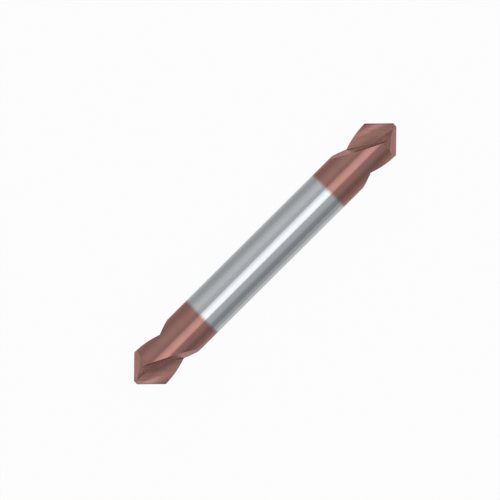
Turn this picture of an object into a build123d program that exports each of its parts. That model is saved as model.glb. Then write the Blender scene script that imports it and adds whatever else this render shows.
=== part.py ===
import os
from math import asin, atan2, cos, degrees, hypot, pi, radians, sin, sqrt, tan

from build123d import *

os.makedirs("parts", exist_ok=True)

# Double-ended spotting drill, ground from one solid carbide bar.
# The axis is X, the origin is the middle of the bar, and the outer corners
# of all four lips lie in the XY plane. The two ends are the same, half a turn
# apart about Z, and both cut to the right.

# Bar
diameter = 6.0
length = 49.0  # from chisel edge to chisel edge

# Point, on each end
point_angle = 90.0
web = 1.25
lip_relief = 12.0
heel_point_angle = 104.0
heel_relief = 38.0
heel_rise = 1.2  # the heel facets aim this far beyond the lips' meeting point

# Flute, on each side of each end
helix_angle = 27.5
flute_width = 108.0  # round the bar, from the lip's outer corner to the heel

# Flat that each flute runs out on, which cuts off its helix
flute_length = 9.26  # from the chisel edge to the flat's far end
run_out_angle = 25.7  # from the bar's axis
run_out_facing = 11.0  # round the bar, from the lip's outer corner toward the heel

radius = diameter / 2
half_web = web / 2
lip_drop = 1 / tan(radians(point_angle / 2))
lip_back_slope = tan(radians(lip_relief)) / sin(radians(point_angle / 2))
lip_reach = sqrt(radius**2 - half_web**2)
corner_roll = degrees(asin(half_web / radius))
lips_meet = length / 2 + half_web * lip_back_slope
chisel_half = half_web * lip_back_slope / lip_drop
corner_depth = length / 2 - lips_meet + lip_reach * lip_drop
turn_rate = 360 * tan(radians(helix_angle)) / (pi * diameter)


def rake_point(reach):
    """Point of the flute's section that the helix carries onto the straight lip."""
    angle = degrees(atan2(half_web, reach)) - corner_roll
    angle -= turn_rate * (lip_reach - reach) * lip_drop
    distance = hypot(reach, half_web)
    return distance * cos(radians(angle)), distance * sin(radians(angle))


# The flute's section at the depth of the outer corner, the corner on its own X axis:
# hooked rake face, rounded root and straight heel wall.
rake_count = 10
rake_outer = 1.5 * radius
rake_step = (rake_outer - chisel_half) / (rake_count - 1)
rake_points = [rake_point(rake_outer - rake_step * i) for i in range(rake_count)]
root_radius = 0.58 * web
root_angle = 84.0
root_foot = (root_radius * cos(radians(root_angle)), root_radius * sin(radians(root_angle)))
heel_edge = (radius * cos(radians(flute_width)), radius * sin(radians(flute_width)))
section_reach = 1.5 * diameter

with BuildSketch() as flute_section:
    with BuildLine():
        rake = Spline(*rake_points)
        toward_heel = Vector(*heel_edge) - Vector(*root_foot)
        wall = Line(root_foot, Vector(*root_foot) + toward_heel.normalized() * section_reach)
        Spline(rake @ 1, wall @ 0, tangents=(rake % 1, wall % 0))
        Polyline(wall @ 1, (section_reach, section_reach), rake @ 0)
    make_face()

# Sections along the bar, from ahead of the point to beyond the flute's end
station_count = 12
first_depth = -0.1 * diameter
last_depth = 1.1 * flute_length
station_step = (last_depth - first_depth) / (station_count - 1)
depths = [first_depth + station_step * i for i in range(station_count)]

# The flat faces out of the bar at the angle run_out_facing, and rises out of it
# away from the point.
out_of_bar = Vector(0, cos(radians(run_out_facing)), sin(radians(run_out_facing)))
run_out = Plane(
    origin=Vector(length / 2 - flute_length, 0, 0) + out_of_bar * radius,
    z_dir=out_of_bar + Vector(tan(radians(run_out_angle)), 0, 0),
)

with BuildPart() as flute_cutter:
    for depth in depths:
        turn = radians(turn_rate * (depth - corner_depth))
        across_bar = Plane(
            origin=(length / 2 - depth, 0, 0),
            x_dir=(0, cos(turn), -sin(turn)),
            z_dir=(1, 0, 0),
        )
        with BuildSketch(across_bar):
            add(flute_section.sketch)
    loft()
    split(bisect_by=run_out, keep=Keep.TOP)


def facet(half_angle, relief, rise):
    """Place of one ground face of the point, its lip level with the XY plane."""
    slope = 1 / tan(radians(half_angle))
    back_slope = tan(radians(relief)) / sin(radians(half_angle))
    outward = (1, slope, -back_slope)
    return Plane(origin=(lips_meet + rise, 0, half_web), z_dir=outward).location


lip_facet = facet(point_angle / 2, lip_relief, 0)
heel_facet = facet(heel_point_angle / 2, heel_relief, heel_rise)
lip_placements = [
    Location((0, 0, 0), (0, 0, end_turn)) * Location((0, 0, 0), (half_turn, 0, 0))
    for end_turn in (0, 180)
    for half_turn in (0, 180)
]
roll_to_corner = Location((0, 0, 0), (-corner_roll, 0, 0))

with BuildPart() as drill:
    Cylinder(radius, length + diameter, rotation=(0, 90, 0))
    for placement in lip_placements:
        for ground_face in (lip_facet, heel_facet):
            split(bisect_by=Plane(placement * roll_to_corner * ground_face), keep=Keep.BOTTOM)
    with Locations(*lip_placements):
        add(flute_cutter.part, mode=Mode.SUBTRACT)

drill.part.label = "spotting_drill"
export_step(drill.part, "parts/spotting_drill.step")
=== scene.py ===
"""Looks of a double-ended spotting drill: bare ground carbide between two copper-brown ends.

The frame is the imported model's: the bar lies along X, with its middle at the origin and
the outer corners of its lips in the XY plane. Places and sizes on the drill's surface are
in millimetres, and the depths of its marks and the sizes of the studio are in metres.
"""

from __future__ import annotations

import logging
import math
from dataclasses import dataclass, field
from enum import Enum
from typing import Union

import bpy
from mathutils import Matrix, Vector


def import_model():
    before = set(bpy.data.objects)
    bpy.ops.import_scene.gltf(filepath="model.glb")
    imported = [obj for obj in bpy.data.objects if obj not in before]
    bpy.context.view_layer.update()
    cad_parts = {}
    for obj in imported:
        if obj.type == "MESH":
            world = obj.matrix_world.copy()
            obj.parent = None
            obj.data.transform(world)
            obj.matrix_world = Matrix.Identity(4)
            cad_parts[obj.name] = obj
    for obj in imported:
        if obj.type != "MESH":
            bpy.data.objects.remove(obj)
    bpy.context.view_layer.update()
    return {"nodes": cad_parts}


MM = 0.001
DRILL_NODE = "spotting_drill"
FULL_TURN = 360.0
NOISE_MIDDLE = 0.5  # the value that noise swings about
RAMP_MIDDLE = 0.5  # where straight up stands on the surround's ramp

Colour = tuple[float, float, float]
Socket = bpy.types.NodeSocket
Term = Union[Socket, float]
Paint = Union[Socket, tuple[float, float, float, float]]

WHITE: Colour = (1.0, 1.0, 1.0)

log = logging.getLogger("spotting_drill")


class Surface(Enum):
    """The kinds of ground surface on the drill."""

    BAR = "bar"
    FLUTE = "flute"
    FLAT = "flat"
    POINT = "point"


@dataclass(frozen=True)
class Rise:
    """The stretch of a value over which a share rises smoothly from 0 to 1."""

    start: float
    full: float


@dataclass(frozen=True)
class Grain:
    """How fine a smooth noise is."""

    scale: float  # its cells to one unit of length
    detail: float  # its finer layers


class Graph:
    """A node tree under construction, with one method for each kind of step."""

    def __init__(self, tree: bpy.types.NodeTree) -> None:
        """Starts from the given tree, emptied."""
        self.tree = tree
        tree.nodes.clear()

    def node(self, kind: str, **settings: object) -> bpy.types.Node:
        """Adds a node.

        Args:
            kind: Blender's name of the node type.
            settings: properties to set on the node.

        Returns:
            The new node.
        """
        made = self.tree.nodes.new(kind)
        for name, value in settings.items():
            setattr(made, name, value)
        return made

    def feed(self, socket: Socket, term: Union[Term, Paint]) -> None:
        """Links a socket to another one, or sets its value.

        Args:
            socket: the input.
            term: an output socket, or a plain value.
        """
        if isinstance(term, bpy.types.NodeSocket):
            self.tree.links.new(term, socket)
        else:
            socket.default_value = term

    def math(self, operation: str, *terms: Term, clamp: bool = False) -> Socket:
        """Adds one step of arithmetic.

        Args:
            operation: the Math node's operation.
            terms: its inputs, in order.
            clamp: keeps the result between 0 and 1.

        Returns:
            The result.
        """
        made = self.node("ShaderNodeMath", operation=operation, use_clamp=clamp)
        for socket, term in zip(made.inputs, terms):
            self.feed(socket, term)
        return made.outputs[0]

    def product(self, first: Term, second: Term, *others: Term) -> Socket:
        """Multiplies two or more numbers.

        Args:
            first: the first number.
            second: the second number.
            others: any more of them.

        Returns:
            Their product.
        """
        result = self.math("MULTIPLY", first, second)
        for term in others:
            result = self.math("MULTIPLY", result, term)
        return result

    def rest_of(self, share: Term) -> Socket:
        """Gives what a share leaves over."""
        return self.math("SUBTRACT", 1.0, share)

    def combine(self, x: Term, y: Term, z: Term) -> Socket:
        """Joins three numbers into a vector.

        Args:
            x: first part.
            y: second part.
            z: third part.

        Returns:
            The vector.
        """
        made = self.node("ShaderNodeCombineXYZ")
        for socket, term in zip(made.inputs, (x, y, z)):
            self.feed(socket, term)
        return made.outputs[0]

    def split(self, vector: Socket) -> tuple[Socket, Socket, Socket]:
        """Splits a vector into its three numbers.

        Args:
            vector: what is split.

        Returns:
            The x, y and z parts.
        """
        made = self.node("ShaderNodeSeparateXYZ")
        self.feed(made.inputs[0], vector)
        return made.outputs[0], made.outputs[1], made.outputs[2]

    def scale(self, vector: Socket, factor: Term) -> Socket:
        """Multiplies a vector or a colour by a number.

        Args:
            vector: what is scaled.
            factor: the number.

        Returns:
            The scaled vector.
        """
        made = self.node("ShaderNodeVectorMath", operation="SCALE")
        self.feed(made.inputs[0], vector)
        self.feed(made.inputs["Scale"], factor)
        return made.outputs[0]

    def step(self, value: Term, rise: Rise) -> Socket:
        """Compares a value with a stretch.

        Args:
            value: what is compared.
            rise: the stretch.

        Returns:
            0 below the stretch, 1 above it, and a smooth rise between.
        """
        made = self.node("ShaderNodeMapRange", interpolation_type="SMOOTHSTEP")
        for name, term in (("Value", value), ("From Min", rise.start), ("From Max", rise.full)):
            self.feed(made.inputs[name], term)
        return made.outputs[0]

    def band(self, value: Term, middle: float, half: float) -> Socket:
        """Gives 1 in the middle of a band of a value, falling smoothly to 0 at its ends."""
        away = self.math("ABSOLUTE", self.math("SUBTRACT", value, middle))
        return self.rest_of(self.step(away, Rise(0.0, half)))

    def noise(self, vector: Socket, grain: Grain) -> Socket:
        """Adds smooth noise.

        Args:
            vector: where the noise is read.
            grain: how fine it is.

        Returns:
            A number from 0 to 1, mostly near the middle.
        """
        made = self.node("ShaderNodeTexNoise", noise_dimensions="3D")
        self.feed(made.inputs["Vector"], vector)
        self.feed(made.inputs["Scale"], grain.scale)
        self.feed(made.inputs["Detail"], grain.detail)
        return made.outputs["Fac"]

    def swing(self, noise: Socket, reach: float) -> Socket:
        """Turns noise into a swing about zero."""
        return self.product(self.math("SUBTRACT", noise, NOISE_MIDDLE), reach)

    def blend(self, share: Term, low: Paint, high: Paint) -> Socket:
        """Mixes two colours.

        Args:
            share: 0 for the first colour, 1 for the second.
            low: the first colour.
            high: the second colour.

        Returns:
            The mixed colour.
        """
        made = self.node("ShaderNodeMix", data_type="RGBA")
        colours = [socket for socket in made.inputs if socket.type == "RGBA"]
        self.feed(made.inputs[0], share)
        self.feed(colours[0], low)
        self.feed(colours[1], high)
        return next(socket for socket in made.outputs if socket.type == "RGBA")

    def choose(self, share: Term, low: Term, high: Term) -> Socket:
        """Mixes two numbers.

        Args:
            share: 0 for the first number, 1 for the second.
            low: the first number.
            high: the second number.

        Returns:
            The mixed number.
        """
        made = self.node("ShaderNodeMix", data_type="FLOAT")
        self.feed(made.inputs[0], share)
        self.feed(made.inputs[2], low)
        self.feed(made.inputs[3], high)
        return made.outputs[0]


def with_alpha(colour: Colour) -> tuple[float, float, float, float]:
    """Gives a colour as Blender's sockets take it."""
    return (*colour, 1.0)


@dataclass(frozen=True)
class GrindingMarks:
    """Fine lines that a grinding wheel leaves on one kind of surface."""

    across: float  # marks to a millimetre, across them
    along: float  # how often one mark changes to a millimetre, along it
    depth: float  # in metres
    unevenness: float  # how much the roughness varies with the marks
    dullness: float  # how much rougher the surface is than its metal's roughness
    tone: float  # how much the marks lighten and darken the colour


@dataclass(frozen=True)
class GroundMetal:
    """One finish of the bar: bare carbide, or carbide under its coating."""

    colour: Colour
    clouds: Colour  # what the colour drifts towards, in soft clouds
    cloud_share: float
    edge_tint: Colour  # of what it reflects at a grazing angle
    metallic: float
    roughness: float


class SurfacePlace:
    """Where a point of the drill is and which way its surface faces, as sockets."""

    def __init__(self, g: Graph, lip_slope: float) -> None:
        """Reads the point's own coordinates.

        Args:
            g: the tree.
            lip_slope: how fast a lip runs back toward the middle as it goes outward.
        """
        place = g.node("ShaderNodeTexCoord")
        self.point = g.scale(place.outputs["Object"], 1 / MM)
        self.x, self.y, self.z = g.split(self.point)
        # from the middle of the bar, and from its axis
        self.depth = g.math("ABSOLUTE", self.x)
        squares = g.math("ADD", g.math("POWER", self.y, 2.0), g.math("POWER", self.z, 2.0))
        self.out = g.math("SQRT", squares)
        # the same all along a lip, and less on both sides of it
        sideways = g.math("ABSOLUTE", self.y)
        self.lip_sum = g.math("ADD", self.depth, g.product(sideways, lip_slope))
        # 1 where the surface faces straight toward the nearer end, or straight sideways
        facing_x, facing_y, _ = g.split(place.outputs["Normal"])
        self.facing_end = g.product(facing_x, g.math("SIGN", self.x))
        self.facing_side = g.math("ABSOLUTE", facing_y)


@dataclass(frozen=True)
class Skin:
    """What a point of the drill is covered with, as sockets from 0 to 1."""

    surfaces: dict[Surface, Socket]  # its share in each kind, and the flutes have what is left
    coat: Socket  # how far the coating covers it
    thin: Socket  # how thin the coating is
    lines: dict[Surface, Socket]  # the height of each kind's grinding marks


@dataclass(frozen=True)
class DrillFinish:
    """The whole drill's finish: bare in the middle, coated at both ends."""

    bare: GroundMetal = GroundMetal(
        colour=(0.575, 0.605, 0.625),
        clouds=(0.53, 0.56, 0.585),
        cloud_share=0.4,
        edge_tint=WHITE,
        metallic=1.0,
        roughness=0.15,
    )
    coated: GroundMetal = GroundMetal(
        colour=(0.375, 0.19, 0.165),
        clouds=(0.31, 0.17, 0.14),
        cloud_share=0.5,
        edge_tint=(1.0, 0.71, 0.67),
        metallic=0.85,
        roughness=0.17,
    )
    flat_edge_tint: Colour = (0.88, 0.58, 0.565)  # of the coated flats that end the flutes
    plain_gloss: float = 0.12  # the white gloss of the part that isn't like metal
    cloud_grain: Grain = Grain(scale=0.7, detail=4.0)
    cloud_rise: Rise = Rise(0.35, 0.75)

    # The coating's edge on the bar, from the bar's middle
    coat_edge: Rise = Rise(11.55, 12.25)
    coat_waver: float = 0.16  # from its nearest to its farthest
    waver_grain: Grain = Grain(scale=1.4, detail=3.0)

    # The thin coating on steep surfaces deep in the flutes: a paler colour, partly a real thinner
    # coating and partly painted light that lifts these shaded walls
    thin_lit_coat: Colour = (0.52, 0.33, 0.295)
    thin_lit_share: float = 0.5
    thin_mattness: float = 0.32  # how much less like plain metal it is
    thickening: Rise = Rise(1.7, 2.4)  # from the axis
    thin_facing: Rise = Rise(0.77, 0.87)  # how far such a surface faces sideways

    # The lips, along which the distance from the bar's middle and lip_slope times the
    # distance from the XZ plane add up to lip_line
    lip_line: float = 24.82
    lip_slope: float = 1.0235

    # The painted highlight: a bright line behind each lip, on the point's faces
    lip_highlight: Colour = (0.5, 0.34, 0.31)
    lip_highlight_share: float = 0.35
    lip_highlight_in: float = 0.24  # how much less than lip_line its middle adds up to
    lip_highlight_half: float = 0.1

    # Painted shade: a dark line along each lip, on the flute's side, and a painted shadow over the
    # chisel edge
    lip_shade: Colour = (0.2, 0.12, 0.11)
    lip_shade_share: float = 0.8
    lip_shade_in: float = 0.12  # how much less than lip_line its middle adds up to
    lip_shade_half: float = 0.34
    chisel_shade_share: float = 0.6
    chisel_shade_rise: Rise = Rise(23.85, 24.3)  # from the bar's middle

    # Droplets in the coating
    droplet_grain: Grain = Grain(scale=26.0, detail=2.0)
    droplet_depth: float = 4e-7

    # What tells the kinds of surface apart
    bar_skin: Rise = Rise(2.963, 2.975)  # how far from the axis the bar's own surface is
    point_facing: Rise = Rise(0.5, 0.56)  # how far the point's faces face the end
    flat_facing: Rise = Rise(0.74, 0.8)  # how far the flats face sideways

    # Grinding marks
    mark_grain: Grain = Grain(scale=1.0, detail=3.0)  # here the unit is one mark
    marks: dict[Surface, GrindingMarks] = field(
        default_factory=lambda: {
            Surface.BAR: GrindingMarks(
                across=14.0, along=0.4, depth=6e-7, unevenness=0.05, dullness=0.0, tone=0.1
            ),
            Surface.FLUTE: GrindingMarks(
                across=4.0, along=0.16, depth=9e-6, unevenness=0.16, dullness=0.1, tone=0.55
            ),
            Surface.FLAT: GrindingMarks(
                across=7.0, along=0.2, depth=4e-6, unevenness=0.12, dullness=0.1, tone=0.3
            ),
            Surface.POINT: GrindingMarks(
                across=6.0, along=0.3, depth=3e-6, unevenness=0.1, dullness=0.08, tone=0.3
            ),
        }
    )

    def build(self) -> bpy.types.Material:
        """Builds the material.

        Returns:
            The finished material.
        """
        material = bpy.data.materials.new("ground_carbide_coated_ends")
        material.use_nodes = True
        g = Graph(material.node_tree)
        at = SurfacePlace(g, self.lip_slope)
        skin = self._skin(g, at)
        shader = g.node("ShaderNodeBsdfPrincipled")
        g.feed(shader.inputs["Base Color"], self._colour(g, at, skin))
        g.feed(shader.inputs["Metallic"], self._metallic(g, skin))
        g.feed(shader.inputs["Roughness"], self._roughness(g, skin))
        g.feed(shader.inputs["Specular Tint"], self._edge_tint(g, skin))
        g.feed(shader.inputs["Specular IOR Level"], self.plain_gloss)
        g.feed(shader.inputs["Normal"], self._relief(g, at, skin))
        end = g.node("ShaderNodeOutputMaterial")
        g.feed(end.inputs["Surface"], shader.outputs[0])
        return material

    def _skin(self, g: Graph, at: SurfacePlace) -> Skin:
        """Works out what kind of surface a point is on, and how it is coated and marked.

        Args:
            g: the tree.
            at: the place on the drill.

        Returns:
            The skin at that point.
        """
        surfaces = {
            Surface.BAR: g.step(at.out, self.bar_skin),
            Surface.POINT: g.step(at.facing_end, self.point_facing),
            Surface.FLAT: g.step(at.facing_side, self.flat_facing),
        }
        waver = g.swing(g.noise(at.point, self.waver_grain), self.coat_waver)
        coat = g.step(g.math("ADD", at.depth, waver), self.coat_edge)
        # steep surfaces deep in the flutes, where the coating is thin and painted lighter
        deep = g.rest_of(g.step(at.out, self.thickening))
        thin = g.product(deep, g.step(at.facing_side, self.thin_facing))
        return Skin(surfaces, coat, thin, self._lines(g, at))

    def _lines(self, g: Graph, at: SurfacePlace) -> dict[Surface, Socket]:
        """Draws the grinding marks of every kind of surface.

        They run round the bar, parallel to the lips in the flutes, along the bar on
        the flats that the flutes run out on, and in arcs on the point's faces.

        Args:
            g: the tree.
            at: the place on the drill.

        Returns:
            The height of each kind of marks, from 0 to 1.
        """
        across = {
            Surface.BAR: (at.depth, at.y, at.z),
            Surface.FLUTE: (at.lip_sum, at.x, at.z),
            Surface.FLAT: (at.z, at.x, at.y),
            Surface.POINT: (at.out, at.y, at.z),
        }
        heights = {}
        for kind, (over, first, second) in across.items():
            marks = self.marks[kind]
            where = g.combine(
                g.product(over, marks.across),
                g.product(first, marks.along),
                g.product(second, marks.along),
            )
            heights[kind] = g.noise(where, self.mark_grain)
        return heights

    def _by_surface(self, g: Graph, skin: Skin, values: dict[Surface, Term]) -> Term:
        """Picks the value of the surface that a point is on.

        Args:
            g: the tree.
            skin: the skin at that point.
            values: one value for each kind of surface.

        Returns:
            The picked value.
        """
        picked = values[Surface.FLUTE]
        for kind in (Surface.FLAT, Surface.POINT, Surface.BAR):
            picked = g.choose(skin.surfaces[kind], picked, values[kind])
        return picked

    def _colour(self, g: Graph, at: SurfacePlace, skin: Skin) -> Socket:
        """Mixes the colour, with everything that lightens and darkens it, painted highlights and
        shade among them.

        Args:
            g: the tree.
            at: the place on the drill.
            skin: the skin at that place.

        Returns:
            The colour.
        """
        colour = self._metal_colour(g, at, skin)
        colour = self._paint_lip_highlight(g, at, skin, colour)
        colour = self._paint_lip_shade(g, at, skin, colour)
        tones = {kind: self._tone(g, skin, kind) for kind in Surface}
        return g.scale(colour, self._by_surface(g, skin, tones))

    def _metal_colour(self, g: Graph, at: SurfacePlace, skin: Skin) -> Socket:
        """Mixes clouded bare metal with clouded coating, which is paler where it is thin, partly
        as painted light on the shaded walls deep in the flutes.

        Args:
            g: the tree.
            at: the place on the drill.
            skin: the skin at that place.

        Returns:
            The colour.
        """
        clouds = g.step(g.noise(at.point, self.cloud_grain), self.cloud_rise)
        bare = self._clouded(g, self.bare, clouds)
        coated = self._clouded(g, self.coated, clouds)
        # paler where the coating is thin, partly painted light on the shaded walls
        paler_and_lit = g.product(skin.thin, self.thin_lit_share)
        return g.blend(skin.coat, bare, g.blend(paler_and_lit, coated, with_alpha(self.thin_lit_coat)))

    def _clouded(self, g: Graph, metal: GroundMetal, clouds: Socket) -> Socket:
        """Lets a metal's colour drift in the clouds."""
        share = g.product(clouds, metal.cloud_share)
        return g.blend(share, with_alpha(metal.colour), with_alpha(metal.clouds))

    def _paint_lip_highlight(self, g: Graph, at: SurfacePlace, skin: Skin, colour: Socket) -> Socket:
        """Paints a highlight as a bright line behind each lip, on the point's faces.

        Args:
            g: the tree.
            at: the place on the drill.
            skin: the skin at that place.
            colour: the colour without the line.

        Returns:
            The colour with it.
        """
        # painted highlight along each lip, where its edge would catch the light
        line = g.band(at.lip_sum, self.lip_line - self.lip_highlight_in, self.lip_highlight_half)
        share = g.product(line, self.lip_highlight_share, skin.surfaces[Surface.POINT])
        return g.blend(share, colour, with_alpha(self.lip_highlight))

    def _paint_lip_shade(self, g: Graph, at: SurfacePlace, skin: Skin, colour: Socket) -> Socket:
        """Paints shade: darkens the lips on the flutes' side, and the chisel edge.

        Args:
            g: the tree.
            at: the place on the drill.
            skin: the skin at that place.
            colour: the colour before the painted shade.

        Returns:
            The colour after it.
        """
        # painted shade along each lip, and a painted shadow over the chisel edge
        line = g.band(at.lip_sum, self.lip_line - self.lip_shade_in, self.lip_shade_half)
        off_point = g.rest_of(skin.surfaces[Surface.POINT])
        shaded_lips = g.product(line, self.lip_shade_share, off_point)
        shaded_chisel = g.product(g.step(at.depth, self.chisel_shade_rise), self.chisel_shade_share)
        return g.blend(g.math("MAXIMUM", shaded_lips, shaded_chisel), colour, with_alpha(self.lip_shade))

    def _tone(self, g: Graph, skin: Skin, kind: Surface) -> Socket:
        """Finds how far one kind of marks lightens or darkens the colour, where 1 leaves it."""
        return g.math("ADD", g.swing(skin.lines[kind], self.marks[kind].tone), 1.0)

    def _metallic(self, g: Graph, skin: Skin) -> Socket:
        """Finds how much like plain metal a point is.

        Args:
            g: the tree.
            skin: the skin at that point.

        Returns:
            A number from 0 to 1.
        """
        matt = g.product(skin.thin, self.thin_mattness)
        coated = g.math("SUBTRACT", self.coated.metallic, matt)
        return g.choose(skin.coat, self.bare.metallic, coated)

    def _roughness(self, g: Graph, skin: Skin) -> Socket:
        """Finds the roughness, which varies with the grinding marks.

        Args:
            g: the tree.
            skin: the skin at a point.

        Returns:
            The roughness at that point.
        """
        metal = g.choose(skin.coat, self.bare.roughness, self.coated.roughness)
        duller = {kind: self._dulling(g, skin, kind) for kind in Surface}
        return g.math("ADD", metal, self._by_surface(g, skin, duller))

    def _dulling(self, g: Graph, skin: Skin, kind: Surface) -> Socket:
        """Finds how much rougher one kind of surface is than its metal."""
        marks = self.marks[kind]
        return g.math("ADD", g.swing(skin.lines[kind], marks.unevenness), marks.dullness)

    def _edge_tint(self, g: Graph, skin: Skin) -> Socket:
        """Mixes the tint of what the drill reflects at a grazing angle.

        Args:
            g: the tree.
            skin: the skin at a point.

        Returns:
            The tint at that point.
        """
        coated = with_alpha(self.coated.edge_tint)
        tint = g.blend(skin.coat, with_alpha(self.bare.edge_tint), coated)
        off_bar = g.rest_of(skin.surfaces[Surface.BAR])
        on_flat = g.product(skin.surfaces[Surface.FLAT], off_bar, skin.coat)
        return g.blend(on_flat, tint, with_alpha(self.flat_edge_tint))

    def _relief(self, g: Graph, at: SurfacePlace, skin: Skin) -> Socket:
        """Raises the grinding marks, and the droplets in the coating.

        Args:
            g: the tree.
            at: the place on the drill.
            skin: the skin at that place.

        Returns:
            The surface's direction with the relief on it.
        """
        heights = {kind: g.product(skin.lines[kind], self.marks[kind].depth) for kind in Surface}
        droplets = g.noise(at.point, self.droplet_grain)
        raised = g.product(droplets, self.droplet_depth, skin.coat)
        bump = g.node("ShaderNodeBump")
        g.feed(bump.inputs["Strength"], 1.0)
        g.feed(bump.inputs["Distance"], 1.0)
        g.feed(bump.inputs["Height"], g.math("ADD", self._by_surface(g, skin, heights), raised))
        return bump.outputs[0]


@dataclass
class SpottingDrill:
    """The drill itself: one ground bar, with its finish."""

    node: bpy.types.Object
    finish: DrillFinish = DrillFinish()

    def dress(self) -> None:
        """Puts the finish on the bar."""
        material = self.finish.build()
        for slot in self.node.material_slots:
            slot.material = material
        faces = len(self.node.data.polygons)
        log.info("%s: %d faces, finish %s", self.node.name, faces, material.name)


@dataclass(frozen=True)
class Softbox:
    """One lamp of the studio, over the drill and along it."""

    name: str
    side_from: float  # degrees from straight up, towards -Y
    side_to: float
    height: float
    length: float
    brightness: float  # where 1 is a white wall's
    along: float = 0.0  # how far its middle is along the bar

    def build(self) -> bpy.types.Object:
        """Builds the lamp.

        Returns:
            The lamp's object.
        """
        near = -self.height * math.tan(math.radians(self.side_to))
        far = -self.height * math.tan(math.radians(self.side_from))
        width = far - near
        lamp = bpy.data.lights.new(self.name, "AREA")
        lamp.shape = "RECTANGLE"
        lamp.size = self.length
        lamp.size_y = width
        lamp.energy = self.brightness * math.pi * width * self.length
        made = bpy.data.objects.new(self.name, lamp)
        made.location = (self.along, (near + far) / 2, self.height)
        made.visible_camera = False
        bpy.context.scene.collection.objects.link(made)
        return made


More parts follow.
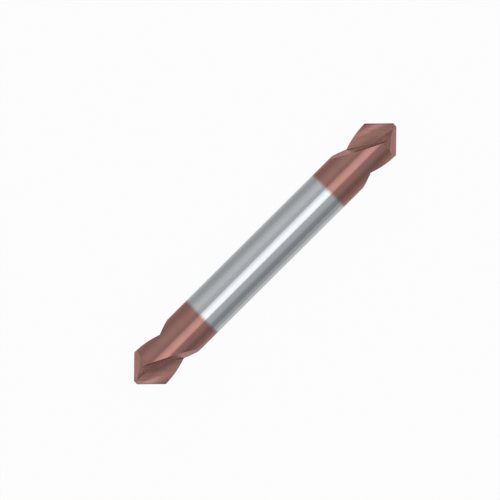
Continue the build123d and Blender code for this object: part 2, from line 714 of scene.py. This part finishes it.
@dataclass
class Studio:
    """A pale floor, soft light and a plain surround."""

    floor_size: float = 3.0
    floor_height: float = -0.003
    floor_colour: Colour = (0.56, 0.56, 0.57)
    floor_glow: float = 0.96  # how far the camera sees the floor as plain white
    floor_shine: float = 0.58  # how far the drill does, along a strip under it
    shine_middle: float = -0.0027  # across the bar
    shine_fade: Rise = Rise(0.0045, 0.0145)  # from the strip's middle
    softboxes: tuple[Softbox, ...] = (
        Softbox(
            "softbox_near", side_from=-2.0, side_to=22.5, height=0.45, length=0.56, brightness=1.0
        ),
        Softbox(
            "softbox_far", side_from=-14.0, side_to=-2.0, height=0.45, length=0.56, brightness=0.66
        ),
        Softbox(
            "softbox_end",
            side_from=-30.0,
            side_to=-2.0,
            height=0.44,
            length=0.3,
            brightness=0.5,
            along=-0.42,
        ),
    )
    end_gain: float = 0.6  # how much brighter the walls beyond the drill's ends are
    # brightness of the surround at an angle from straight up, towards -Y
    surround: tuple[tuple[float, float], ...] = (
        (-180.0, 0.6),
        (-101.0, 0.475),
        (-83.0, 0.555),
        (-64.5, 0.71),
        (-44.0, 0.77),
        (-26.0, 0.58),
        (-16.0, 0.62),
        (16.0, 0.62),
        (20.0, 0.55),
        (30.0, 0.62),
        (50.0, 0.58),
        (63.5, 0.36),
        (83.0, 0.32),
        (94.5, 0.46),
        (180.0, 0.6),
    )

    def build(self) -> None:
        """Builds the floor, the lamps and the surround."""
        self._floor()
        for softbox in self.softboxes:
            softbox.build()
        self._surround()
        height = self.floor_height / MM
        log.info("studio: floor at %.1f mm, %d softboxes", height, len(self.softboxes))

    def _floor(self) -> None:
        """Builds the floor under the drill."""
        half = self.floor_size / 2
        mesh = bpy.data.meshes.new("studio_floor")
        corners = [(-half, -half), (half, -half), (half, half), (-half, half)]
        mesh.from_pydata([(x, y, self.floor_height) for x, y in corners], [], [(0, 1, 2, 3)])
        floor = bpy.data.objects.new("studio_floor", mesh)
        bpy.context.scene.collection.objects.link(floor)
        mesh.materials.append(self._floor_paint())

    def _floor_paint(self) -> bpy.types.Material:
        """Builds the floor's matt white, which keeps a faint shadow.

        Returns:
            The material.
        """
        material = bpy.data.materials.new("pale_floor")
        material.use_nodes = True
        g = Graph(material.node_tree)
        paint = g.node("ShaderNodeBsdfDiffuse")
        g.feed(paint.inputs["Color"], with_alpha(self.floor_colour))
        glow = g.node("ShaderNodeEmission")
        g.feed(glow.inputs["Strength"], 1.0)
        mix = g.node("ShaderNodeMixShader")
        g.feed(mix.inputs[0], self._glow_share(g))
        g.feed(mix.inputs[1], paint.outputs[0])
        g.feed(mix.inputs[2], glow.outputs[0])
        end = g.node("ShaderNodeOutputMaterial")
        g.feed(end.inputs["Surface"], mix.outputs[0])
        return material

    def _glow_share(self, g: Graph) -> Socket:
        """Finds how far the floor glows: all over for the camera, in a strip for the drill.

        Args:
            g: the floor's tree.

        Returns:
            A number from 0 to 1.
        """
        ray = g.node("ShaderNodeLightPath")
        _, across, _ = g.split(g.node("ShaderNodeTexCoord").outputs["Object"])
        away = g.math("ABSOLUTE", g.math("SUBTRACT", across, self.shine_middle))
        strip = g.product(g.rest_of(g.step(away, self.shine_fade)), self.floor_shine)
        seen = g.product(ray.outputs["Is Camera Ray"], self.floor_glow)
        reflected = g.product(ray.outputs["Is Glossy Ray"], strip)
        return g.math("ADD", seen, reflected, clamp=True)

    def _surround(self) -> None:
        """Builds the studio's walls as the drill sees them; the camera sees white."""
        world = bpy.data.worlds.new("studio_surround")
        world.use_nodes = True
        bpy.context.scene.world = world
        g = Graph(world.node_tree)
        x, y, z = g.split(g.node("ShaderNodeTexCoord").outputs["Generated"])
        angle = g.math("DEGREES", g.math("ARCTAN2", g.product(y, -1.0), z))
        gain = g.math("ADD", 1.0, g.product(g.math("POWER", x, 2.0), self.end_gain))
        walls = g.scale(self._wall_ramp(g, angle), gain)
        ray = g.node("ShaderNodeLightPath")
        seen = g.blend(ray.outputs["Is Camera Ray"], walls, with_alpha(WHITE))
        back = g.node("ShaderNodeBackground")
        g.feed(back.inputs["Color"], seen)
        end = g.node("ShaderNodeOutputWorld")
        g.feed(end.inputs["Surface"], back.outputs[0])

    def _wall_ramp(self, g: Graph, angle: Socket) -> Socket:
        """Reads the surround's brightness at an angle.

        Args:
            g: the world's tree.
            angle: degrees from straight up, towards -Y.

        Returns:
            The brightness, as a grey.
        """
        ramp = g.node("ShaderNodeValToRGB")
        g.feed(ramp.inputs[0], g.math("ADD", g.math("DIVIDE", angle, FULL_TURN), RAMP_MIDDLE))
        stops = ramp.color_ramp.elements
        while len(stops) < len(self.surround):
            stops.new(RAMP_MIDDLE)
        for stop, (stop_angle, brightness) in zip(stops, self.surround):
            stop.position = stop_angle / FULL_TURN + RAMP_MIDDLE
            stop.color = with_alpha((brightness, brightness, brightness))
        return ramp.outputs[0]


@dataclass
class OverheadCamera:
    """A long lens straight above the drill, turned so that the drill runs up to the right."""

    frame_width: float = 0.06701  # what the picture spans at the drill
    lens: float = 400.0  # in millimetres
    # the picture's right and up, in the drill's frame
    right: Vector = field(default_factory=lambda: Vector((0.7094, -0.7048, 0.0)))
    up: Vector = field(default_factory=lambda: Vector((0.7048, 0.7094, 0.0)))
    # from the bar's middle to the picture's
    aim_right: float = -0.002033
    aim_up: float = 0.000507
    clip_near: float = 0.01
    clip_far: float = 10.0

    def build(self) -> None:
        """Builds the camera and makes it the scene's own."""
        lens = bpy.data.cameras.new("overhead_camera")
        lens.lens = self.lens
        lens.clip_start = self.clip_near
        lens.clip_end = self.clip_far
        camera = bpy.data.objects.new("overhead_camera", lens)
        bpy.context.scene.collection.objects.link(camera)
        distance = self.frame_width * self.lens / lens.sensor_width
        right = self.right.normalized()
        back = right.cross(self.up).normalized()
        up = back.cross(right)
        aim = right * self.aim_right + up * self.aim_up
        turn = Matrix((right, up, back)).transposed().to_4x4()
        camera.matrix_world = Matrix.Translation(aim + back * distance) @ turn
        bpy.context.scene.camera = camera
        log.info("camera: %.0f mm lens at %.0f mm", self.lens, distance / MM)


def main() -> None:
    """Builds the drill and the studio round it."""
    logging.basicConfig(level=logging.INFO, format="%(name)s: %(message)s")
    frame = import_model()
    SpottingDrill(frame["nodes"][DRILL_NODE]).dress()
    Studio().build()
    OverheadCamera().build()
    bpy.context.scene.view_settings.view_transform = "Standard"


if __name__ == "__main__":
    main()
